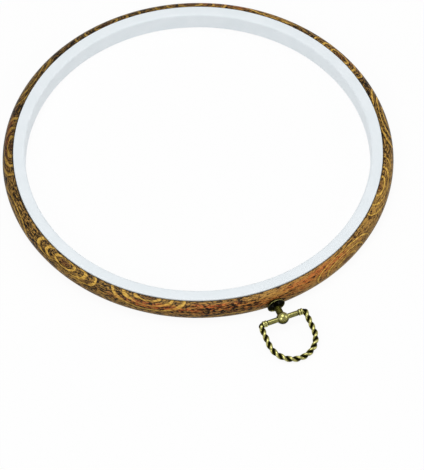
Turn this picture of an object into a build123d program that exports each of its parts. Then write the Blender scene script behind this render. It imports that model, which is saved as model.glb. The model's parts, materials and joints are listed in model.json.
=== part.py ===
"""Embroidery hoop with a wood-grain vinyl outer ring, a rigid inner ring and a brass ring-pull hanger.

Frame: the hoop lies flat, +Z up, with the origin on its axis in the plane that it rests on.
The hanger points along -Y. All lengths are in millimetres.
"""
import math
import os

from build123d import *

# Driving sizes of the two rings
overall_diameter = 150.0
outer_ring_thickness = 4.2
outer_ring_height = 7.5
inner_ring_thickness = 4.5
inner_ring_height = 8.0
inner_edge_radius = 1.0
fit_edge_radius = 0.35
ring_fit_clearance = 0.1

# Turned ball post
ball_diameter = 4.6
ball_standoff = 7.0
ball_flat_inset = 0.4
foot_diameter = 3.4
foot_thickness = 0.6
boss_diameter = 2.8
neck_diameter = 1.7
neck_length = 1.2
collar_diameter = 2.6
collar_flare_length = 0.4

# Deeply dished washer under the post
cup_diameter = 6.9
cup_base_diameter = 3.6
cup_thickness = 0.4
cup_rise = 1.6
cup_rim_thickness = 0.3
cup_seat_depth = 0.5
cup_seat_clearance = 0.15

# Screw and its flat washer, behind the post
screw_diameter = 1.9
screw_head_diameter = 4.4
screw_head_thickness = 0.8
screw_slot_width = 0.5
screw_slot_depth = 0.4
screw_end_gap = 0.15
screw_head_recess = 0.3
backing_washer_diameter = 5.6
backing_washer_thickness = 0.4
counterbore_clearance = 0.2
hole_clearance = 0.05
thread_clearance = 0.02
boss_end_gap = 0.3

# Rope-pattern bail
rope_diameter = 2.3
bail_width = 17.8
bail_drop = 17.3
arm_diameter = 2.0
arm_length = 4.1
arm_tip_gap = 0.6
arm_tip_chamfer = 0.15
bail_bore_clearance = 0.06
bead_diameter = 2.5
bead_end_diameter = 2.1
bead_length = 1.8
bead_groove_diameter = 1.6
bead_groove_length = 0.25
bail_floor_clearance = 0.05
bail_swing_clearance = 0.4

# Sizes worked out from the ones above
outer_radius = overall_diameter / 2
fit_radius = outer_radius - outer_ring_thickness
inner_ring_radius = fit_radius - ring_fit_clearance
opening_radius = inner_ring_radius - inner_ring_thickness
ball_reach = outer_radius + ball_standoff
hanger_height = outer_ring_height / 2
round_radius = outer_ring_height / 2
cup_seat = outer_radius - cup_seat_depth
foot_seat = cup_seat + cup_thickness
counterbore_depth = screw_head_recess + screw_head_thickness + backing_washer_thickness
counterbore_floor = fit_radius + counterbore_depth
ball_radius = ball_diameter / 2
rope_radius = rope_diameter / 2
bail_half_width = bail_width / 2
bail_rest_drop = hanger_height - rope_radius - bail_floor_clearance
bail_rest_angle = math.degrees(math.asin(bail_rest_drop / bail_drop))

# Local z of this plane is the distance from the hoop's axis, and its local y is world Z
hanger_plane = Plane(origin=(0, 0, hanger_height), x_dir=(1, 0, 0), z_dir=(0, -1, 0))
quarter_turn = 90.0


def on_hanger(solid, distance=0.0):
    """Stands a solid, turned about its local Z, on the hanger's axis at a distance from the hoop's."""
    return hanger_plane * Pos(0, 0, distance) * solid


def turned(outline):
    """Solid turned about local Z from a closed outline drawn as (radius, height)."""
    return Rot(quarter_turn, 0, 0) * revolve(make_face(outline), Axis.Y)


def disc(diameter, height):
    """Plain cylinder that stands on its local origin."""
    return Cylinder(diameter / 2, height, align=(Align.CENTER, Align.CENTER, Align.MIN))


def make_inner_ring():
    """Rigid ring, rectangular in section, with well rounded inner edges and eased outer ones."""
    section = Pos(opening_radius + inner_ring_thickness / 2, inner_ring_height / 2) * Rectangle(
        inner_ring_thickness, inner_ring_height
    )
    corners = section.vertices().group_by(Axis.X)
    section = fillet(corners[0], inner_edge_radius)
    section = fillet(section.vertices().group_by(Axis.X)[-1], fit_edge_radius)
    return revolve(Plane.XZ * section, Axis.Z)


def make_outer_ring():
    """Half-round ring, bored for the hanger: seat outside, clearance hole, counterbore inside."""
    land = outer_radius - round_radius
    outline = Polyline((land, 0), (fit_radius, 0), (fit_radius, outer_ring_height), (land, outer_ring_height))
    outline += ThreePointArc((land, outer_ring_height), (outer_radius, round_radius), (land, 0))
    ring = revolve(Plane.XZ * make_face(outline), Axis.Z)
    ring -= on_hanger(disc(boss_diameter + 2 * hole_clearance, outer_radius))
    ring -= on_hanger(disc(cup_diameter + 2 * cup_seat_clearance, outer_radius), cup_seat)
    counterbore = backing_washer_diameter + 2 * counterbore_clearance
    ring -= on_hanger(disc(counterbore, counterbore_floor))
    return ring


def make_hanger_screw():
    """Slotted screw, entered from inside the outer ring."""
    head_face = fit_radius + screw_head_recess
    shank = disc(screw_diameter, foot_seat - head_face - screw_end_gap)
    head = disc(screw_head_diameter, screw_head_thickness)
    slot = Box(
        screw_head_diameter,
        screw_slot_width,
        screw_slot_depth,
        align=(Align.CENTER, Align.CENTER, Align.MIN),
    )
    return on_hanger(head + shank - slot, head_face)


def make_backing_washer():
    """Flat washer that spreads the screw's pull over the floor of the counterbore."""
    ring = disc(backing_washer_diameter, backing_washer_thickness)
    ring -= disc(screw_diameter + 2 * hole_clearance, backing_washer_thickness)
    return on_hanger(ring, counterbore_floor - backing_washer_thickness)


def make_cup_washer():
    """Thin washer with a deep dish that opens away from the ring."""
    hole = boss_diameter / 2 + hole_clearance
    base = cup_base_diameter / 2
    rim = cup_diameter / 2
    lip = rim - cup_rim_thickness
    under = Line((hole, 0), (base, 0))
    under += TangentArc((base, 0), (rim, cup_rise), tangent=(1, 0))
    inside = Line((hole, cup_thickness), (base, cup_thickness))
    inside += TangentArc((base, cup_thickness), (lip, cup_rise), tangent=(1, 0))
    ends = Line((hole, 0), (hole, cup_thickness))
    ends += Line((lip, cup_rise), (rim, cup_rise))
    return on_hanger(turned(under + inside + ends), cup_seat)


def make_hanger_post():
    """Post turned in one piece: tapped boss, foot, thin neck, collar and cross-bored ball."""
    boss_end = counterbore_floor + boss_end_gap
    foot_top = foot_seat + foot_thickness
    collar_start = foot_top + neck_length
    outline = Polyline(
        (0, boss_end),
        (boss_diameter / 2, boss_end),
        (boss_diameter / 2, foot_seat),
        (foot_diameter / 2, foot_seat),
        (foot_diameter / 2, foot_top),
        (neck_diameter / 2, foot_top),
        (neck_diameter / 2, collar_start),
        (collar_diameter / 2, collar_start + collar_flare_length),
        (collar_diameter / 2, ball_reach),
        (0, ball_reach),
        close=True,
    )
    post = on_hanger(turned(outline))
    ball = Sphere(ball_radius)
    ball_width = ball_diameter - 2 * ball_flat_inset
    ball &= Box(ball_width, ball_diameter, ball_diameter)
    post += on_hanger(ball, ball_reach)
    bore = Cylinder(arm_diameter / 2 + bail_bore_clearance, ball_diameter, rotation=(0, quarter_turn, 0))
    post -= on_hanger(bore, ball_reach)
    tapped = disc(screw_diameter + 2 * thread_clearance, foot_seat - boss_end)
    return post - on_hanger(tapped, boss_end)


def make_bail_arm(side):
    """Arm that turns in the ball, with the bead at its outer end, along local X."""
    groove_in = ball_radius - ball_flat_inset + arm_length
    bead_in = groove_in + bead_groove_length
    bead_out = bead_in + bead_length
    groove_out = bead_out + bead_groove_length
    tip = arm_tip_gap / 2
    outline = Polyline(
        (groove_out, bead_groove_diameter / 2),
        (bail_half_width, bead_groove_diameter / 2),
        (bail_half_width, 0),
        (tip, 0),
        (tip, arm_diameter / 2 - arm_tip_chamfer),
        (tip + arm_tip_chamfer, arm_diameter / 2),
        (groove_in, arm_diameter / 2),
        (groove_in, bead_groove_diameter / 2),
        (bead_in, bead_groove_diameter / 2),
        (bead_in, bead_end_diameter / 2),
    )
    outline += ThreePointArc(
        (bead_in, bead_end_diameter / 2),
        ((bead_in + bead_out) / 2, bead_diameter / 2),
        (bead_out, bead_end_diameter / 2),
    )
    outline += Polyline(
        (bead_out, bead_end_diameter / 2),
        (bead_out, bead_groove_diameter / 2),
        (groove_out, bead_groove_diameter / 2),
    )
    arm = revolve(make_face(outline), Axis.X)
    return arm if side > 0 else mirror(arm, Plane.YZ)


def make_bail():
    """Rope-pattern D: two legs and a half-round foot, hung on two arms that point inwards."""
    droop = math.radians(bail_rest_angle)
    legs_end = bail_drop - bail_half_width
    path = Line((bail_half_width, 0), (bail_half_width, legs_end))
    path += ThreePointArc((bail_half_width, legs_end), (0, bail_drop), (-bail_half_width, legs_end))
    path += Line((-bail_half_width, legs_end), (-bail_half_width, 0))
    section = Plane(origin=(bail_half_width, 0, 0), z_dir=(0, 1, 0)) * Circle(rope_radius)
    bail = sweep(section, path)
    for side in (1, -1):
        bail += Pos(side * bail_half_width, 0, 0) * Sphere(rope_radius)
        bail += make_bail_arm(side)
    bail_plane = Plane(
        origin=(0, -ball_reach, hanger_height),
        x_dir=(1, 0, 0),
        z_dir=(0, math.sin(droop), -math.cos(droop)),
    )
    return bail_plane * bail


def swing_limits():
    """How far the bail turns from rest, up and down, before a leg meets a ring."""
    leg_room = rope_radius + bail_swing_clearance
    profile_distance = ball_reach - (outer_radius - round_radius)
    past_outer = math.degrees(math.asin((round_radius + leg_room) / profile_distance))
    corner_distance = ball_reach - inner_ring_radius
    corner_height = inner_ring_height - hanger_height
    corner_reach = math.hypot(corner_distance, corner_height)
    past_inner = math.degrees(math.atan2(corner_height, corner_distance) + math.asin(leg_room / corner_reach))
    half_turn = math.degrees(math.pi)
    up = half_turn - max(past_outer, past_inner) + bail_rest_angle
    down = half_turn - past_outer - bail_rest_angle
    return up, down


parts = {
    "inner_ring": make_inner_ring(),
    "outer_ring": make_outer_ring(),
    "hanger_screw": make_hanger_screw(),
    "backing_washer": make_backing_washer(),
    "cup_washer": make_cup_washer(),
    "hanger_post": make_hanger_post(),
    "bail": make_bail(),
}

os.makedirs("parts", exist_ok=True)
for name, shape in parts.items():
    export_step(shape, f"parts/{name}.step")

up_limit, down_limit = swing_limits()
print(f"Opening diameter {2 * opening_radius:.2f} mm, fit diameter {2 * fit_radius:.2f} mm")
print(f"Bail axis {ball_reach:.2f} mm from the hoop's axis, {hanger_height:.2f} mm up")
print(f"Bail rests {bail_rest_angle:.2f} degrees below level, swings {up_limit:.1f} up and {down_limit:.1f} down")
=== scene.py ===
"""Looks of an embroidery hoop: rigid white ring, bendy ring with a printed wood grain, and brass hanger.

Everything is in metres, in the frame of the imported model: +Z up, with the hanger along -Y.
"""

import json
import math

import bmesh
import bpy
import numpy as np
from mathutils import Matrix, Vector


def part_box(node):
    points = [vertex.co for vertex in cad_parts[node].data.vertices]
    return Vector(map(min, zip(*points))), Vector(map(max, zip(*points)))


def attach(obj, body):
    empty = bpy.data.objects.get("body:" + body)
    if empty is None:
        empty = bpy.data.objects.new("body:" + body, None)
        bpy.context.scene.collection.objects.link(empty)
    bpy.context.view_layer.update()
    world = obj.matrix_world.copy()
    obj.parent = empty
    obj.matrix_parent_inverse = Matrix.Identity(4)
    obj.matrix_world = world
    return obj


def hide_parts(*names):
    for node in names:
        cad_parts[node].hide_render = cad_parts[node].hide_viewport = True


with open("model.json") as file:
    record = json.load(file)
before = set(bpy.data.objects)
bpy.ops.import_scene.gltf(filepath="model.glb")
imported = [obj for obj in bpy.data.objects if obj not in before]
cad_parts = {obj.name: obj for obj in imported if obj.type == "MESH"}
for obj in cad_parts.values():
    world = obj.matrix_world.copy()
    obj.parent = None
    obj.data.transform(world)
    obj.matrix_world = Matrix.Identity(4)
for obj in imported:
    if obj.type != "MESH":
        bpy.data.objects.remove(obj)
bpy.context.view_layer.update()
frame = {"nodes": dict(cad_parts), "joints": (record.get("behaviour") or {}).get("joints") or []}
mm = 0.001

# The photograph's view of the hoop, in pixels, degrees and metres, with the sensor's width in mm
photo_width, photo_height = 424, 470
hoop_centre_pixel = (198.6, 147.7)
focal_pixels = 2868.0
sensor_width = 36.0
view_azimuth, view_elevation = -22.05, 52.5
view_distance = 1.098
clip_start, clip_end = 0.05, 50.0

# Rings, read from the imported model
outer_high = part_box("outer_ring")[1]
inner_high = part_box("inner_ring")[1]
outer_radius = outer_high.x
outer_height = outer_high.z
inner_ring_radius = inner_high.x
inner_height = inner_high.z
round_radius = outer_height / 2
round_centre = outer_radius - round_radius
ring_steps, half_round_steps = 576, 48

# Ring details that the boxes don't give
outer_ring_thickness = 4.2 * mm
inner_ring_thickness = 4.5 * mm
inner_edge_easing = 1.0 * mm
fit_edge_easing = 0.35 * mm
fit_radius = outer_radius - outer_ring_thickness
opening_radius = inner_ring_radius - inner_ring_thickness

# Hanger, on its own axis through the outer ring's middle
bail_joint = next(j for j in frame["joints"] if j["name"] == "bail_swing")
bail_axis = Vector(bail_joint["pos_m"])
ball_reach = -bail_axis.y
bail_low, bail_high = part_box("bail")
post_low, post_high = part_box("hanger_post")
cup_low, cup_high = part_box("cup_washer")
ball_radius = (post_high.z - post_low.z) / 2


def add_camera():
    """Camera at the photograph's angle, aimed so that the hoop's centre falls on its pixel."""
    azimuth, elevation = math.radians(view_azimuth), math.radians(view_elevation)
    level = math.cos(elevation)
    back = Vector((math.sin(azimuth) * level, -math.cos(azimuth) * level, math.sin(elevation)))
    right = Vector((math.cos(azimuth), math.sin(azimuth), 0))
    up = back.cross(right)
    centre = Vector((0, 0, inner_height))
    metres_per_pixel = view_distance / focal_pixels
    aim = centre + right * (photo_width / 2 - hoop_centre_pixel[0]) * metres_per_pixel
    aim -= up * (photo_height / 2 - hoop_centre_pixel[1]) * metres_per_pixel
    data = bpy.data.cameras.new("camera")
    data.sensor_width = sensor_width
    data.lens = focal_pixels * sensor_width / max(photo_width, photo_height)
    data.clip_start, data.clip_end = clip_start, clip_end
    camera = bpy.data.objects.new("camera", data)
    camera.location = centre + back * view_distance
    camera.rotation_mode = "QUATERNION"
    camera.rotation_quaternion = (aim - camera.location).to_track_quat("-Z", "Y")
    bpy.context.scene.collection.objects.link(camera)
    bpy.context.scene.camera = camera


def linear(red, green, blue):
    """Scene-linear colour of an sRGB one given from 0 to 255, with alpha."""
    def channel(value):
        share = value / 255
        return share / 12.92 if share <= 0.04045 else ((share + 0.055) / 1.055) ** 2.4
    return (channel(red), channel(green), channel(blue), 1.0)


class Graph:
    """Short calls that build one material's nodes."""

    def __init__(self, name):
        self.material = bpy.data.materials.new(name)
        self.material.use_nodes = True
        self.nodes = self.material.node_tree.nodes
        self.links = self.material.node_tree.links
        self.nodes.clear()

    def feed(self, socket, value):
        """Links a node's output to a socket, or sets the socket to a plain value."""
        if isinstance(value, bpy.types.NodeSocket):
            self.links.new(value, socket)
        else:
            socket.default_value = value

    def new(self, kind, **settings):
        node = self.nodes.new(kind)
        for key, value in settings.items():
            setattr(node, key, value)
        return node

    def math(self, operation, *values):
        node = self.new("ShaderNodeMath", operation=operation)
        for socket, value in zip(node.inputs, values):
            self.feed(socket, value)
        return node.outputs[0]

    def total(self, first, *others):
        for other in others:
            first = self.math("ADD", first, other)
        return first

    def times(self, first, *others):
        for other in others:
            first = self.math("MULTIPLY", first, other)
        return first

    def span(self, value, low, high, to_low=0.0, to_high=1.0):
        """Smooth step of a value from one range to another."""
        node = self.new("ShaderNodeMapRange", interpolation_type="SMOOTHSTEP")
        for socket, setting in zip(node.inputs, (value, low, high, to_low, to_high)):
            self.feed(socket, setting)
        return node.outputs[0]

    def between(self, share, first, second):
        """Value that goes from the first to the second."""
        node = self.new("ShaderNodeMix", data_type="FLOAT")
        self.feed(node.inputs["Factor"], share)
        numbers = [socket for socket in node.inputs if socket.type == "VALUE" and socket.name in ("A", "B")]
        self.feed(numbers[0], first)
        self.feed(numbers[1], second)
        return next(socket for socket in node.outputs if socket.type == "VALUE")

    def mix(self, share, first, second):
        """Colour that goes from the first to the second."""
        node = self.new("ShaderNodeMix", data_type="RGBA")
        self.feed(node.inputs["Factor"], share)
        colours = [socket for socket in node.inputs if socket.type == "RGBA"]
        self.feed(colours[0], first)
        self.feed(colours[1], second)
        return next(socket for socket in node.outputs if socket.type == "RGBA")

    def vector(self, x, y, z):
        node = self.new("ShaderNodeCombineXYZ")
        for socket, value in zip(node.inputs, (x, y, z)):
            self.feed(socket, value)
        return node.outputs[0]

    def position(self):
        """Place in the row frame, in millimetres."""
        scaled = self.new("ShaderNodeVectorMath", operation="SCALE")
        self.links.new(self.new("ShaderNodeTexCoord").outputs["Object"], scaled.inputs[0])
        scaled.inputs["Scale"].default_value = 1 / mm
        return scaled.outputs[0]

    def parts(self, vector):
        """The x, y and z of a vector."""
        split = self.new("ShaderNodeSeparateXYZ")
        self.links.new(vector, split.inputs[0])
        return split.outputs

    def noise(self, place, scale, detail=2.0, roughness=0.5):
        node = self.new("ShaderNodeTexNoise")
        self.feed(node.inputs["Vector"], place)
        for name, value in (("Scale", scale), ("Detail", detail), ("Roughness", roughness)):
            node.inputs[name].default_value = value
        return node.outputs["Fac"]

    def length(self, first, second):
        """Length of a vector in the plane."""
        return self.math("SQRT", self.total(self.times(first, first), self.times(second, second)))

    def attribute(self, name):
        return self.new("ShaderNodeAttribute", attribute_name=name).outputs["Fac"]

    def bump(self, height, strength, depth):
        node = self.new("ShaderNodeBump")
        node.inputs["Strength"].default_value = strength
        node.inputs["Distance"].default_value = depth
        self.feed(node.inputs["Height"], height)
        return node.outputs[0]

    def finish(self, **inputs):
        """Principled surface with these inputs, whose names have underscores for spaces."""
        shader = self.new("ShaderNodeBsdfPrincipled")
        for name, value in inputs.items():
            self.feed(shader.inputs[name.replace("_", " ")], value)
        output = self.new("ShaderNodeOutputMaterial")
        self.links.new(shader.outputs[0], output.inputs["Surface"])
        return self.material


def on_circle(g, angle):
    """Both coordinates of a point at this angle on the ring's outer circle, in mm."""
    return [g.times(g.math(wave, angle), outer_radius / mm) for wave in ("SINE", "COSINE")]


# Eyes of the printed figure: degrees round the ring from the hanger, degrees over the half round from its
# top, half length and half width of the first oval in mm, width of its line at the ends in mm, and how fast
# the ovals crowd together at their sides
grain_eyes = (
    (-172, 12, 4.9, 1.60, 1.0, 0.0),
    (-140, 58, 4.7, 1.50, 1.1, 0.0),
    (-113.5, 3, 4.9, 1.65, 1.2, 0.0),
    (-91, 106, 4.3, 1.50, 1.2, 0.0),
    (-65.3, 24, 5.0, 1.75, 1.2, 0.25),
    (-37.5, -1, 4.9, 1.62, 1.2, 0.0),
    (-12, 150, 4.6, 1.45, 0.9, 0.0),
    (25.5, 77, 4.9, 1.36, 0.75, 0.0),
    (53.0, 3, 4.9, 1.46, 0.85, 0.0),
    (80.5, 62, 4.9, 1.50, 1.0, 0.0),
    (107, 8, 4.6, 1.55, 1.0, 0.0),
    (133, 72, 4.9, 1.45, 0.8, 0.0),
    (160, 24, 4.8, 1.60, 0.9, 0.1),
)
eye_rings = 3
farther_than_any = 99.0

# Usual half length and half width of a first oval, and the width of its line along the sides, in mm
usual_eye_length, usual_eye_width, side_line = 4.85, 1.55, 0.36

# Reddish clouds: degrees round, degrees over, half length and half width in degrees, and strength
grain_embers = (
    (-118, 40, 9, 22, 0.7),
    (-34, 45, 14, 15, 0.8),
    (-15, 34, 8, 20, 0.85),
    (-8, 56, 20, 20, 0.3),
    (15, 28, 13, 18, 0.55),
    (104, 50, 9, 22, 0.35),
    (150, 40, 12, 24, 0.7),
)

# Middles of the stretch of painted light and the stretch of painted shade on the wood, in degrees round from
# the hanger
painted_light_direction, painted_shade_direction = 28, 93


class RingPrint:
    """Places on the half-round ring, for a print that runs round it with no seam."""

    def __init__(self, g):
        self.g = g
        x, y, z = g.parts(g.position())
        self.round_angle = g.math("ARCTAN2", x, g.math("MULTIPLY", y, -1.0))
        self.east, self.north = on_circle(g, self.round_angle)
        self.distance = g.length(x, y)
        from_centre = g.math("SUBTRACT", self.distance, round_centre / mm)
        self.over_angle = g.math("ARCTAN2", from_centre, g.math("SUBTRACT", z, round_radius / mm))
        self.across = g.times(self.over_angle, round_radius / mm)
        self.sway = g.math("SUBTRACT", self.noise(2.0, 0.16, detail=1.0), 0.5)
        self.tremble = g.math("SUBTRACT", self.noise(3.0, 0.8, detail=2.0), 0.5)

    def noise(self, stretch, scale, shift=None, **settings):
        """Noise drawn out along the ring, and shifted across it if need be."""
        g = self.g
        across = self.across if shift is None else g.total(self.across, shift)
        return g.noise(g.vector(self.east, self.north, g.times(across, stretch)), scale, **settings)

    def facing(self, degrees):
        """Cosine of the angle round from one direction."""
        return self.g.math("COSINE", self.g.math("SUBTRACT", self.round_angle, math.radians(degrees)))

    def away(self, around_degrees, over_degrees, round_scale, over_scale):
        """Angles round and over from one point of the print, each times its scale."""
        g = self.g
        turn = g.math("SUBTRACT", self.round_angle, math.radians(around_degrees))
        turn = g.math("WRAP", turn, math.pi, -math.pi)
        rise = g.math("SUBTRACT", self.over_angle, math.radians(over_degrees))
        return g.times(turn, round_scale), g.times(rise, over_scale)


def oval_figure(g, ring):
    """How many ovals out from the nearest eye, how far round towards its ends, and its line's width there."""
    nearest, endward, end_line = farther_than_any, 0.0, 1.0
    for around, over, length, width, line, crowding in grain_eyes:
        along, rise = ring.away(around, over, outer_radius / mm / length, round_radius / mm / width)
        if crowding:
            rise = g.times(rise, g.math("MULTIPLY_ADD", g.times(rise, rise), crowding, 1.0))
        reach = g.length(along, rise)
        closer = g.math("LESS_THAN", reach, nearest)
        endward = g.between(closer, endward, g.math("DIVIDE", g.math("ABSOLUTE", along), reach))
        end_line = g.between(closer, end_line, line)
        nearest = g.math("MINIMUM", nearest, reach)
    nearest = g.total(nearest, g.times(ring.sway, 0.35), g.times(ring.tremble, 0.1))
    return nearest, endward, end_line


def oval_lines(g, ring, nearest, endward, end_line):
    """Shares of the golden lines, of the darker ground close by them, and of the fine rings in between."""
    inside = g.span(nearest, eye_rings + 0.4, eye_rings + 0.2)
    off_line = g.math("PINGPONG", nearest, 0.5)
    side_slope, end_slope = 1 / usual_eye_width ** 2, 1 / usual_eye_length ** 2
    slope = g.math("MULTIPLY_ADD", g.times(endward, endward), end_slope - side_slope, side_slope)
    line_width = g.between(g.span(endward, 0.35, 0.95), side_line, end_line)
    line_width = g.times(line_width, g.span(ring.noise(1.0, 0.35, detail=1.0), 0.35, 0.65, 0.75, 1.25))
    half_width = g.times(line_width, g.math("SQRT", slope), 0.5)
    gold_line = g.times(inside, g.span(off_line, g.times(half_width, 1.15), g.times(half_width, 0.7)))
    gold_line = g.times(gold_line, g.span(nearest, 0.4, 0.7))
    beside_line = g.times(inside, g.span(off_line, g.times(half_width, 2.4), g.times(half_width, 1.5)))
    fine_rings = g.times(inside, g.span(g.math("PINGPONG", g.times(nearest, 3.6), 0.5), 0.3, 0.1))
    fine_rings = g.times(fine_rings, g.span(ring.noise(1.5, 1.1, detail=2.0), 0.40, 0.52))
    return gold_line, beside_line, fine_rings


def ember_clouds(g, ring):
    """Shares of the reddish glow, with ragged edges, and of the wider warm cloud round it."""
    ember_glow, warm_cloud = 0.0, 0.0
    ragged = g.total(g.times(ring.tremble, 2.0), g.times(ring.sway, 1.6))
    for around, over, length, width, strength in grain_embers:
        turn, rise = ring.away(around, over, 1 / math.radians(length), 1 / math.radians(width))
        reach = g.length(turn, rise)
        glow = g.span(g.total(reach, ragged), 1.25, 0.4, 0.0, strength)
        ember_glow = g.math("MAXIMUM", ember_glow, glow)
        warm_cloud = g.math("MAXIMUM", warm_cloud, g.span(g.total(reach, g.times(ring.sway, 2.0)), 2.2, 0.6))
    return ember_glow, warm_cloud


def print_and_painted_light(g, ring, streaks, halo, painted_light):
    """Lightness of the ground: its streaks, a stretch of painted light and one of painted shade, and darker
    ground round the ovals.
    """
    painted_shade = g.span(ring.facing(painted_shade_direction), 0.8, 0.96)
    cloudy = g.times(g.math("SUBTRACT", ring.noise(0.8, 0.06, detail=2.0), 0.5), 0.3)
    # Painted light: the ground is lighter towards the painted light's direction and in its stretch
    light = g.total(streaks, cloudy, g.times(ring.facing(painted_light_direction), 0.03), g.times(painted_light, 0.045))
    return g.math("SUBTRACT", light, g.total(g.times(halo, 0.025), g.times(painted_shade, 0.1)))


def wood_grain():
    """Printed vinyl: a dark streaked ground, golden ovals strung round the ring, and reddish clouds, with
    painted light and shade.
    """
    g = Graph("wood_grain_vinyl")
    ring = RingPrint(g)
    nearest, endward, end_line = oval_figure(g, ring)
    gold_line, beside_line, fine_rings = oval_lines(g, ring, nearest, endward, end_line)
    ember_glow, warm_cloud = ember_clouds(g, ring)
    halo = g.span(nearest, eye_rings + 0.9, eye_rings)
    core = g.span(nearest, 0.75, 0.35)

    wander = g.math("SINE", g.times(ring.round_angle, 9.0))
    streaks = ring.noise(5.0, 0.42, detail=3.0, roughness=0.6)
    dashes = ring.noise(4.2, 0.66, shift=wander, detail=1.0)
    pores = ring.noise(4.6, 0.62, detail=2.0, roughness=0.6)
    # Painted light on the ground, in the stretch round its direction
    painted_light = g.span(ring.facing(painted_light_direction), 0.72, 0.97)
    # Painted shade on the far side of the ring from the painted light, and towards the ring's underside
    far_side_painted_shade = g.span(ring.facing(painted_light_direction), -0.2, -0.95)
    shaded = g.span(ring.over_angle, math.radians(22), math.radians(80))
    # Painted shade in the crevice against the white ring
    rim = g.span(ring.distance, fit_radius / mm + 0.1, fit_radius / mm + 0.55)
    light = print_and_painted_light(g, ring, streaks, halo, painted_light)

    black, straw, gold = linear(12, 6, 3), linear(180, 139, 66), linear(228, 183, 86)
    # The dark ground is lighter in the painted light
    dark = g.mix(painted_light, linear(24, 11, 4), linear(48, 25, 8))
    straw = g.mix(g.times(warm_cloud, 0.5), straw, linear(186, 106, 46))
    pale = g.mix(ember_glow, straw, linear(200, 92, 40))
    gold = g.mix(g.span(pores, 0.43, 0.55), linear(172, 130, 46), gold)
    line_gold = g.mix(g.times(ember_glow, 0.6), gold, linear(206, 120, 50))
    colour = g.mix(g.span(light, 0.455, 0.57), dark, pale)
    colour = g.mix(g.times(g.span(dashes, 0.53, 0.58), 0.6), colour, linear(194, 146, 74))
    colour = g.mix(g.times(beside_line, 0.5), colour, linear(54, 28, 11))
    colour = g.mix(g.times(core, 0.55), colour, linear(92, 42, 28))
    colour = g.mix(g.times(fine_rings, 0.75), colour, pale)
    # Pores are shallower and browner in the painted light
    pore_depth = g.times(g.span(pores, 0.49, 0.42), g.math("MULTIPLY_ADD", painted_light, -0.4, 0.85))
    colour = g.mix(pore_depth, colour, g.mix(painted_light, black, linear(64, 30, 11)))
    colour = g.mix(g.times(gold_line, 0.95), colour, line_gold)
    # Fewer deep pores in the painted light
    deep_pore = g.times(g.span(pores, 0.38, 0.32), g.math("MULTIPLY_ADD", painted_light, -0.3, 0.5))
    colour = g.mix(deep_pore, colour, black)
    # Painted shade towards black, on the underside and on the far side
    colour = g.mix(g.total(g.times(shaded, 0.32), g.times(far_side_painted_shade, 0.5)), colour, black)
    # Painted crevice shade next to the white ring
    colour = g.mix(g.math("MULTIPLY_ADD", rim, -0.75, 0.75), colour, black)
    return g.finish(
        Base_Color=colour,
        Roughness=g.span(streaks, 0.3, 0.7, 0.5, 0.4),
        Specular_IOR_Level=0.15,
        Normal=g.bump(g.total(g.times(pores, 0.7), g.times(dashes, 0.3)), 0.2, 0.05 * mm),
    )


def white_plastic():
    """Moulded white plastic: a soft ripple, a faintly uneven gloss, and the odd fine scuff along the ring."""
    g = Graph("white_plastic")
    place = g.position()
    x, y, z = g.parts(place)
    ripple = g.noise(place, 0.12, detail=2.0)
    speck = g.noise(place, 2.4, detail=2.0)
    east, north = on_circle(g, g.math("ARCTAN2", x, y))
    across = g.times(g.total(g.length(x, y), z), 4.0)
    scuff = g.noise(g.vector(east, north, across), 0.3, detail=1.0)
    return g.finish(
        Base_Color=g.mix(g.span(ripple, 0.3, 0.7), linear(233, 240, 244), linear(237, 243, 247)),
        Roughness=g.total(g.span(ripple, 0.3, 0.7, 0.42, 0.48), g.span(scuff, 0.55, 0.75, 0.0, 0.1)),
        Normal=g.bump(g.total(ripple, g.times(speck, 0.015)), 0.2, 0.2 * mm),
        IOR=1.47,
    )


def antique_brass(name, worn=None):
    """Brass that is rubbed bright where its crest value is high and nearly black in the recesses; the crest
    value also carries painted shade on faces looking down.
    """
    g = Graph(name)
    place = g.position()
    mottle = g.noise(place, 1.6, detail=3.0, roughness=0.6)
    grit = g.noise(place, 7.0, detail=3.0, roughness=0.65)
    crest = g.attribute("crest") if worn is None else g.span(mottle, 0.2, 0.8, worn - 0.15, worn + 0.15)
    rubbed = g.total(crest, g.times(g.math("SUBTRACT", mottle, 0.5), 0.22))
    rubbed = g.total(rubbed, g.times(g.math("SUBTRACT", grit, 0.5), 0.15))
    shine = g.span(rubbed, 0.25, 1.0)
    old, bright = linear(18, 17, 7), linear(198, 193, 122)
    half = g.mix(g.span(mottle, 0.35, 0.65), linear(66, 64, 20), linear(92, 90, 32))
    colour = g.mix(g.span(shine, 0.0, 0.5), old, half)
    return g.finish(
        Base_Color=g.mix(g.span(shine, 0.5, 1.0), colour, bright),
        Metallic=1.0,
        Roughness=g.total(g.span(shine, 0.0, 1.0, 0.6, 0.2), g.times(grit, 0.06)),
        Normal=g.bump(g.total(g.times(mottle, 0.6), g.times(grit, 0.4)), 0.16, 0.05 * mm),
    )


# Angles past which edges stay sharp, in degrees
turned_sharp_angle, bore_sharp_angle, strand_sharp_angle = 38, 30, 60


def add_mesh(name, points, faces, material, sharp_angle=turned_sharp_angle):
    """Mesh object with smooth shading and sharp edges past an angle."""
    mesh = bpy.data.meshes.new(name)
    mesh.from_pydata([tuple(p) for p in points], [], [tuple(f) for f in faces])
    mesh.shade_smooth()
    mesh.set_sharp_from_angle(angle=math.radians(sharp_angle))
    mesh.materials.append(material)
    piece = bpy.data.objects.new(name, mesh)
    bpy.context.scene.collection.objects.link(piece)
    return piece


# How rubbed the brass is, from 0 to 1
recess_rub, fastener_rub, arm_rub, ball_rub, rim_rub = 0.2, 0.45, 0.76, 0.82, 0.8
dish_rub, dish_edge_rub = 0.25, 0.5
neck_rub, collar_rub = 0.3, 0.65

# Painted shade on the brass: share of the rub that a face looking down lacks, and how far one looking
# sideways counts as facing up
fixed_painted_underside_shade, bail_painted_underside_shade = 0.7, 0.25
side_facing_share = 0.4


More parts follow.
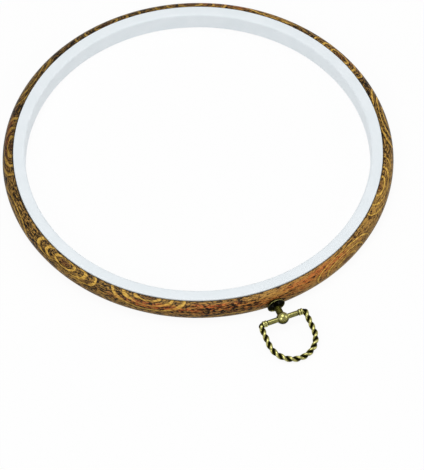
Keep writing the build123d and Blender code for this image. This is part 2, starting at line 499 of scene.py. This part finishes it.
def mark_crest(piece, values, painted_underside_shade):
    """Stores how rubbed each point is, much on what stands out, with painted shade that takes rub off what
    faces down.
    """
    facing = np.array([vertex.normal.z for vertex in piece.data.vertices])
    facing = np.clip(side_facing_share + facing, 0, 1)
    # Painted shade: less rub on faces looking down
    rubbed = np.asarray(values) * (1 - painted_underside_shade + painted_underside_shade * facing)
    crest = piece.data.attributes.new("crest", "FLOAT", "POINT")
    crest.data.foreach_set("value", rubbed.astype(np.float32))


def eased(corners, steps=4, closed=False):
    """Outline of (radius, height) points, with each corner rounded over the easing that it may have third."""
    outline = []
    count = len(corners)
    for i, corner in enumerate(corners):
        here = Vector(corner[:2])
        easing = corner[2] if len(corner) > 2 else 0.0
        if easing == 0.0 or (not closed and i in (0, count - 1)):
            outline.append(here)
            continue
        before = Vector(corners[i - 1][:2]) - here
        after = Vector(corners[(i + 1) % count][:2]) - here
        start = here + before.normalized() * easing
        end = here + after.normalized() * easing
        for step in range(steps + 1):
            t = step / steps
            outline.append(start * (1 - t) ** 2 + here * 2 * t * (1 - t) + end * t * t)
    return outline


def arc(centre, radius, start, end, steps):
    """Points of a circular arc, with angles in degrees from the outward direction towards +height."""
    turn = np.radians(np.linspace(start, end, steps + 1))
    return [(centre[0] + radius * math.cos(a), centre[1] + radius * math.sin(a)) for a in turn]


def turned(name, outline, steps, material, place=Matrix.Identity(4), closed=False, crest=None,
           painted_underside_shade=fixed_painted_underside_shade):
    """Surface turned about local Z. An open outline of (radius, height) starts and ends on the axis."""
    points, faces, crests, rings = [], [], [], []
    for i, (radius, height) in enumerate(outline):
        single = not closed and i in (0, len(outline) - 1)
        ring = range(len(points), len(points) + (1 if single else steps))
        for k in range(len(ring)):
            turn = 2 * math.pi * k / steps
            points.append(place @ Vector((radius * math.cos(turn), radius * math.sin(turn), height)))
        rings.append(list(ring))
        if crest is not None:
            crests += [crest(radius, height)] * len(ring)
    pairs = list(zip(rings, rings[1:])) + ([(rings[-1], rings[0])] if closed else [])
    for low, high in pairs:
        for k in range(steps):
            after = (k + 1) % steps
            corners = [low[k % len(low)], low[after % len(low)], high[after % len(high)], high[k % len(high)]]
            faces.append(list(dict.fromkeys(corners)))
    piece = add_mesh(name, points, faces, material)
    if crest is not None:
        mark_crest(piece, crests, painted_underside_shade)
    return piece


def onto_axis(distance=0.0):
    """Matrix that stands a turned piece on the hanger's axis, its height counted from the hoop's axis."""
    return Matrix.Translation((0, -distance, bail_axis.z)) @ Matrix.Rotation(math.radians(90), 4, "X")


def make_inner_ring(material):
    """White ring: rounded inner edges, eased outer ones."""
    corners = (
        (opening_radius, 0, inner_edge_easing),
        (inner_ring_radius, 0, fit_edge_easing),
        (inner_ring_radius, inner_height, fit_edge_easing),
        (opening_radius, inner_height, inner_edge_easing),
    )
    ring = turned("white_inner_ring", eased(corners, 8, closed=True), ring_steps, material, closed=True)
    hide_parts("inner_ring")
    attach(ring, "inner_hoop")


# Bore for the hanger, in steps along its axis: counterbore, hole and seat
counterbore_radius, counterbore_depth = 3.0 * mm, 1.5 * mm
counterbore_end = fit_radius + counterbore_depth
hanger_hole_radius = 1.45 * mm
cup_seat_radius, cup_seat = 3.6 * mm, -cup_high.y
cut_overrun = 3.0 * mm
cut_start, cut_end = fit_radius - cut_overrun, outer_radius + cut_overrun
land_edge_easing = 0.12 * mm
drill_steps = 96
weld_distance = 0.002 * mm


def bore_out(piece, cutter):
    """Cuts one closed mesh out of another, and welds the slivers that the cut leaves."""
    cut = piece.modifiers.new("bore", "BOOLEAN")
    cut.operation, cut.solver, cut.object = "DIFFERENCE", "EXACT", cutter
    bpy.context.view_layer.update()
    bored = bpy.data.meshes.new_from_object(piece.evaluated_get(bpy.context.evaluated_depsgraph_get()))
    welded = bmesh.new()
    welded.from_mesh(bored)
    bmesh.ops.remove_doubles(welded, verts=welded.verts, dist=weld_distance)
    bmesh.ops.dissolve_degenerate(welded, dist=weld_distance, edges=welded.edges)
    welded.to_mesh(bored)
    welded.free()
    bored.shade_smooth()
    bored.set_sharp_from_angle(angle=math.radians(bore_sharp_angle))
    piece.modifiers.clear()
    piece.data = bored
    bpy.data.objects.remove(cutter)


def make_outer_ring(material):
    """Half-round ring, bored for the hanger. The drill is turned half a step, so that no corners coincide."""
    corners = [
        (round_centre, 0, 0),
        (fit_radius, 0, land_edge_easing),
        (fit_radius, outer_height, land_edge_easing),
        (round_centre, outer_height, 0),
    ]
    outline = eased(corners, 4, closed=True)
    half_round = arc((round_centre, round_radius), round_radius, 90, -90, half_round_steps)
    outline += [Vector(point) for point in half_round[1:-1]]
    ring = turned("wood_grain_ring", outline, ring_steps, material, closed=True)
    drill = (
        (0, cut_start), (counterbore_radius, cut_start), (counterbore_radius, counterbore_end),
        (hanger_hole_radius, counterbore_end), (hanger_hole_radius, cup_seat),
        (cup_seat_radius, cup_seat), (cup_seat_radius, cut_end), (0, cut_end),
    )
    half_step = Matrix.Rotation(math.pi / drill_steps, 4, "Z")
    bore_out(ring, turned("drill", drill, drill_steps, material, onto_axis() @ half_step))
    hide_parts("outer_ring")
    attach(ring, "outer_hoop")


# Washer with a deep dish
cup_radius = cup_high.x
cup_rise = cup_high.y - cup_low.y
cup_rim_thickness = 0.3 * mm
cup_lip_radius = cup_radius - cup_rim_thickness
cup_base_radius = 1.8 * mm
cup_thickness = 0.4 * mm
cup_hole_radius = hanger_hole_radius
cup_rim_easing = 0.13 * mm
cup_rim_height = 0.15 * mm
cup_steps, dish_steps = 128, 14


def dish(start, end):
    """Arc that leaves the first (radius, height) point level and ends at the second."""
    run, rise = end[0] - start[0], end[1] - start[1]
    bend = (run * run + rise * rise) / (2 * rise)
    turns = np.linspace(0, 2 * math.atan2(rise, run), dish_steps + 1)
    return [(start[0] + bend * math.sin(t), start[1] + bend * (1 - math.cos(t))) for t in turns]


def make_cup_washer(material):
    """Thin washer dished away from the ring, with an eased rim."""
    under = dish((cup_base_radius, 0), (cup_radius, cup_rise))
    inside = dish((cup_base_radius, cup_thickness), (cup_lip_radius, cup_rise))[::-1]
    rim = eased((under[-2], (*under[-1], cup_rim_easing), (*inside[0], cup_rim_easing), inside[1]))
    outline = [(cup_hole_radius, 0)] + under[:-2] + [tuple(p) for p in rim] + inside[2:]
    outline.append((cup_hole_radius, cup_thickness))

    def crest(radius, height):
        if height > cup_rise - cup_rim_height:
            return rim_rub
        return dish_rub + (dish_edge_rub - dish_rub) * height / cup_rise

    place = onto_axis(cup_seat)
    washer = turned("cup_washer_dish", outline, cup_steps, material, place, closed=True, crest=crest)
    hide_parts("cup_washer")
    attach(washer, "outer_hoop")


# Turned post, in distances from the hoop's axis
boss_radius, boss_end_gap = 1.4 * mm, 0.3 * mm
boss_start = counterbore_end + boss_end_gap
tapping_radius, tapping_easing = 0.97 * mm, 0.1 * mm
foot_radius, foot_thickness = 1.7 * mm, 0.6 * mm
foot_start = cup_seat + cup_thickness
foot_end = foot_start + foot_thickness
foot_easing = 0.12 * mm
neck_radius, neck_length = 0.85 * mm, 1.2 * mm
neck_end = foot_end + neck_length
neck_root_width, neck_root_height, neck_root_easing = 0.25 * mm, 0.35 * mm, 0.15 * mm
collar_radius, collar_flare_length = 1.3 * mm, 0.4 * mm
stem_easing = 0.2 * mm
stem_overlap = 0.3 * mm
post_steps = 96

# Ball, cross-bored for the arms, with a lip round each mouth of the bore
ball_flat_inset = 0.4 * mm
ball_flat = ball_radius - ball_flat_inset
ball_lip, ball_lip_inset = 0.16 * mm, 0.02 * mm
bail_bore_radius = 1.06 * mm
mouth_width, mouth_easing = 0.1 * mm, 0.08 * mm
mouth_depth, mouth_root_easing = 0.15 * mm, 0.06 * mm
mouth_rub_reach = 0.05 * mm
ball_side_steps = 20


def post_stem(material):
    """Stem of the post: tapped boss, foot, neck and flared collar, which ends inside the ball."""
    stem_end = ball_reach - math.sqrt(ball_radius ** 2 - collar_radius ** 2) + stem_overlap
    outline = eased((
        (tapping_radius, boss_start, tapping_easing),
        (boss_radius, boss_start, foot_easing),
        (boss_radius, foot_start, 0),
        (foot_radius, foot_start, foot_easing),
        (foot_radius, foot_end, stem_easing),
        (neck_radius + neck_root_width, foot_end, neck_root_easing),
        (neck_radius, foot_end + neck_root_height, neck_root_easing),
        (neck_radius, neck_end, stem_easing),
        (collar_radius, neck_end + collar_flare_length, stem_easing),
        (collar_radius, stem_end, 0),
        (tapping_radius, stem_end, 0),
        (tapping_radius, foot_start, 0),
    ), closed=True)

    def crest(radius, height):
        if height < neck_end or radius <= tapping_radius:
            return recess_rub
        return neck_rub + (collar_rub - neck_rub) * (radius - neck_radius) / (collar_radius - neck_radius)

    return turned("hanger_post_stem", outline, post_steps, material, onto_axis(), closed=True, crest=crest)


def post_ball(material):
    """Ball of the post, turned about the arms' axis, with the bore right through."""
    side_end = math.degrees(math.asin((ball_flat - ball_lip) / ball_radius))
    side = arc((0, 0), ball_radius, 0, side_end, ball_side_steps)
    mouth = eased((
        side[-1],
        (side[-1][0] - ball_lip_inset, ball_flat, ball_lip),
        (bail_bore_radius + mouth_width, ball_flat, mouth_easing),
        (bail_bore_radius, ball_flat - mouth_depth, mouth_root_easing),
        (bail_bore_radius, 0),
    ))
    half = side[:-1] + [tuple(point) for point in mouth]
    whole = half + [(radius, -height) for radius, height in half[-2:0:-1]]

    def crest(radius, height):
        return ball_rub if radius > bail_bore_radius + mouth_rub_reach else recess_rub

    across = Matrix.Translation(bail_axis) @ Matrix.Rotation(math.radians(90), 4, "Y")
    return turned("hanger_ball", whole, post_steps, material, across, closed=True, crest=crest)


def make_post(material):
    """Post: its stem, and the ball at the end of it."""
    for piece in (post_stem(material), post_ball(material)):
        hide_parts("hanger_post")
        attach(piece, "outer_hoop")


# D-ring's bow, laid up from two strands, which are rubbed more the further they reach out of the rope
bail_width, bail_drop = 17.8 * mm, 17.3 * mm
rope_radius = bail_high.x - bail_width / 2
corner_radius = 0.7 * mm
lay_length, lay_start_share = 6.0 * mm, 0.35
strand_count = 2
strand_radius = 0.67 * mm
strand_reach = rope_radius - strand_radius
strand_sides, strand_step = 16, 0.1 * mm
strand_end_share, strand_taper_length = 0.6, 0.9 * mm
strand_reach_shares, strand_rubs = (0.5, 0.8, 1.0), (0.0, 0.5, 0.92)
rest_drop = bail_axis.z - (bail_low.z + rope_radius)
droop = math.asin(rest_drop / bail_drop)

# D-ring's arms, in distances from the middle of the ball
arm_radius, arm_tip, arm_end = 1.0 * mm, 0.3 * mm, 6.0 * mm
arm_tip_easing, arm_end_easing, arm_end_slope = 0.15 * mm, 0.12 * mm, 0.06 * mm
groove_radius, groove_easing = 0.8 * mm, 0.05 * mm
bead_radius, bead_start, bead_end = 1.25 * mm, 6.25 * mm, 8.05 * mm
bead_slope, bead_easing = 0.04 * mm, 0.35 * mm
notch_depth, notch_half_width, notch_easing = 0.26 * mm, 0.12 * mm, 0.08 * mm
notch_shoulder_easing = 0.25 * mm
arm_root_inset, arm_root_easing = 0.2 * mm, 0.1 * mm
arm_steps = 64


def bail_plane():
    """Matrix whose local x runs along the arms and whose local y runs down the bow."""
    down = Vector((0, -math.cos(droop), -math.sin(droop)))
    across = Vector((1, 0, 0))
    face = across.cross(down)
    turn = Matrix((across, down, face)).transposed().to_4x4()
    return Matrix.Translation(bail_axis) @ turn


def turned_about(middle, place, angle):
    """Point turned about another one in the plane."""
    spoke = place - middle
    return middle + Vector((
        spoke.x * math.cos(angle) - spoke.y * math.sin(angle),
        spoke.x * math.sin(angle) + spoke.y * math.cos(angle),
    ))


def bow_line():
    """Places, headings and lengths along the bow's centre line, in its own plane."""
    half = bail_width / 2
    turn_in = corner_radius * math.pi / 2
    leg = bail_drop - half - corner_radius
    corner, foot = (turn_in, corner_radius), (half * math.pi, half)
    stretches = (corner, (leg, None), foot, (leg, None), corner)
    total = sum(length for length, radius in stretches)
    lengths = np.linspace(0, total, int(total / strand_step) + 1)
    places, headings = [], []
    for distance in lengths:
        left = distance
        place, heading = Vector((half - corner_radius, 0)), 0.0
        for length, radius in stretches:
            run = min(left, length)
            if radius is None:
                place = place + Vector((math.cos(heading), math.sin(heading))) * run
            else:
                middle = place + Vector((-math.sin(heading), math.cos(heading))) * radius
                place = turned_about(middle, place, run / radius)
                heading += run / radius
            left -= run
            if left <= 0:
                break
        places.append(tuple(place))
        headings.append(heading)
    return np.array(places), np.array(headings), lengths


def strand_course(index):
    """The bow's line, one strand's centre line, two directions across it, and its radius along it."""
    line, headings, lengths = bow_line()
    bow = np.column_stack([line, np.zeros(len(line))])
    phase = 2 * math.pi * (lengths / lay_length + index / strand_count + lay_start_share)
    from_end = np.minimum(lengths, lengths[-1] - lengths)
    fullness = np.clip(from_end / strand_taper_length, 0.0, 1.0) ** 0.5
    taper = strand_end_share + (1 - strand_end_share) * fullness
    tangent = np.stack([np.cos(headings), np.sin(headings), np.zeros_like(headings)], 1)
    out_of_plane = np.tile((0.0, 0.0, 1.0), (len(line), 1))
    sideways = np.cross(out_of_plane, tangent)
    outward = np.cos(phase)[:, None] * sideways + np.sin(phase)[:, None] * out_of_plane
    centres = bow + outward * (strand_reach * taper)[:, None]
    along = np.gradient(centres, axis=0)
    along /= np.linalg.norm(along, axis=1)[:, None]
    first = outward - along * np.sum(outward * along, axis=1)[:, None]
    first /= np.linalg.norm(first, axis=1)[:, None]
    return bow, centres, first, np.cross(along, first), strand_radius * taper


def make_strand(index, material):
    """One strand of the bow: a tube that winds right-handed round the bow's line, tapered into the beads."""
    bow, centres, first, second, radii = strand_course(index)
    turns = 2 * np.pi * np.arange(strand_sides)[:, None] / strand_sides
    spokes = first[:, None] * np.cos(turns) + second[:, None] * np.sin(turns)
    rings = centres[:, None] + spokes * radii[:, None, None]
    crests = np.linalg.norm(rings - bow[:, None], axis=2).ravel() / rope_radius
    place = bail_plane()
    points = [place @ Vector(point) for point in rings.reshape(-1, 3)]
    faces = []
    for low in range(0, len(points) - strand_sides, strand_sides):
        high = low + strand_sides
        for k in range(strand_sides):
            after = (k + 1) % strand_sides
            faces.append((low + k, low + after, high + after, high + k))
    faces.append(range(strand_sides - 1, -1, -1))
    faces.append(range(len(points) - strand_sides, len(points)))
    strand = add_mesh(f"bail_strand_{index + 1}", points, faces, material, strand_sharp_angle)
    mark_crest(strand, np.interp(crests, strand_reach_shares, strand_rubs), bail_painted_underside_shade)
    return strand


def make_arm(side, material):
    """Arm that turns in the ball, with a double bead between two grooves at its outer end."""
    middle = (bead_start + bead_end) / 2
    root = bail_width / 2 - arm_root_inset
    outline = eased((
        (0, arm_tip),
        (arm_radius, arm_tip, arm_tip_easing),
        (arm_radius, arm_end, arm_end_easing),
        (groove_radius, arm_end + arm_end_slope, groove_easing),
        (groove_radius, bead_start - bead_slope, groove_easing),
        (bead_radius, bead_start, bead_easing),
        (bead_radius, middle - notch_half_width, notch_shoulder_easing),
        (bead_radius - notch_depth, middle, notch_easing),
        (bead_radius, middle + notch_half_width, notch_shoulder_easing),
        (bead_radius, bead_end, bead_easing),
        (groove_radius, bead_end + bead_slope, groove_easing),
        (groove_radius, root, arm_root_easing),
        (0, root + arm_root_easing),
    ))

    def crest(radius, height):
        if height < arm_end - arm_end_slope:
            return arm_rub
        return float(np.clip((radius - groove_radius) / (bead_radius - groove_radius), 0, 1))

    name = "bail_arm_right" if side > 0 else "bail_arm_left"
    place = bail_plane() @ Matrix.Rotation(math.radians(90 * side), 4, "Y")
    return turned(name, outline, arm_steps, material, place, crest=crest, painted_underside_shade=bail_painted_underside_shade)


def make_bail(material):
    """D-ring: a bow of two strands between two arms that turn in the ball."""
    pieces = [make_strand(i, material) for i in range(strand_count)]
    pieces += [make_arm(side, material) for side in (1, -1)]
    for piece in pieces:
        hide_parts("bail")
        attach(piece, "hanger_bail")


def dress_fasteners(material):
    """The screw and its washer keep their own solids."""
    for node in ("hanger_screw", "backing_washer"):
        fastener = frame["nodes"][node]
        fastener.data.materials.clear()
        fastener.data.materials.append(material)


# Studio. The floor is a hair below the hoop, so that the two don't share a plane
floor_size = 30.0
floor_drop = 0.05 * mm
floor_colour = (0.9, 0.9, 0.9, 1)
white = (1, 1, 1, 1)
seen_white_share = 0.93
sky_strength = 0.46

# Soft square lamps: place, size and power
lamps = {
    "overhead_softbox": ((0.0, 0.15, 1.3), 0.8, 6.0),
    "left_softbox": ((-0.9, -0.6, 0.8), 0.5, 3.6),
    "right_softbox": ((1.0, -0.4, 0.6), 0.5, 2.2),
}


def floor_material():
    """Pale matte floor that shows nearly white to the camera and in reflections, with a faint soft shadow."""
    g = Graph("floor")
    path = g.new("ShaderNodeLightPath")
    seen = g.math("MAXIMUM", path.outputs["Is Camera Ray"], path.outputs["Is Glossy Ray"])
    seen = g.math("MAXIMUM", seen, path.outputs["Is Transmission Ray"])
    diffuse = g.new("ShaderNodeBsdfDiffuse")
    diffuse.inputs["Color"].default_value = floor_colour
    glow = g.new("ShaderNodeEmission")
    glow.inputs["Color"].default_value = white
    glow.inputs["Strength"].default_value = 1.0
    blend = g.new("ShaderNodeMixShader")
    g.feed(blend.inputs[0], g.times(seen, seen_white_share))
    g.links.new(diffuse.outputs[0], blend.inputs[1])
    g.links.new(glow.outputs[0], blend.inputs[2])
    output = g.new("ShaderNodeOutputMaterial")
    g.links.new(blend.outputs[0], output.inputs["Surface"])
    return g.material


def add_floor():
    """One wide level square under the hoop."""
    half = floor_size / 2
    corners = [(x, y, -floor_drop) for x, y in ((-half, -half), (half, -half), (half, half), (-half, half))]
    floor = add_mesh("floor", corners, ((0, 1, 2, 3),), floor_material())


def add_lamp(name, place, size, power):
    """Soft square lamp that faces the hoop."""
    data = bpy.data.lights.new(name, "AREA")
    data.shape, data.size, data.energy = "SQUARE", size, power
    lamp = bpy.data.objects.new(name, data)
    lamp.location = place
    lamp.rotation_mode = "QUATERNION"
    lamp.rotation_quaternion = (-Vector(place)).to_track_quat("-Z", "Y")
    bpy.context.scene.collection.objects.link(lamp)


def add_sky():
    """Even white light from all round."""
    world = bpy.data.worlds.new("studio")
    world.use_nodes = True
    background = world.node_tree.nodes["Background"]
    background.inputs["Color"].default_value = white
    background.inputs["Strength"].default_value = sky_strength
    bpy.context.scene.world = world


def add_studio():
    """Floor, lamps and sky, with colours shown as they are."""
    add_floor()
    for name, (place, size, power) in lamps.items():
        add_lamp(name, place, size, power)
    add_sky()
    bpy.context.scene.view_settings.view_transform = "Standard"


add_camera()
brass = antique_brass("antique_brass")
make_inner_ring(white_plastic())
make_outer_ring(wood_grain())
make_cup_washer(brass)
make_post(brass)
make_bail(brass)
dress_fasteners(antique_brass("fastener_brass", worn=fastener_rub))
add_studio()
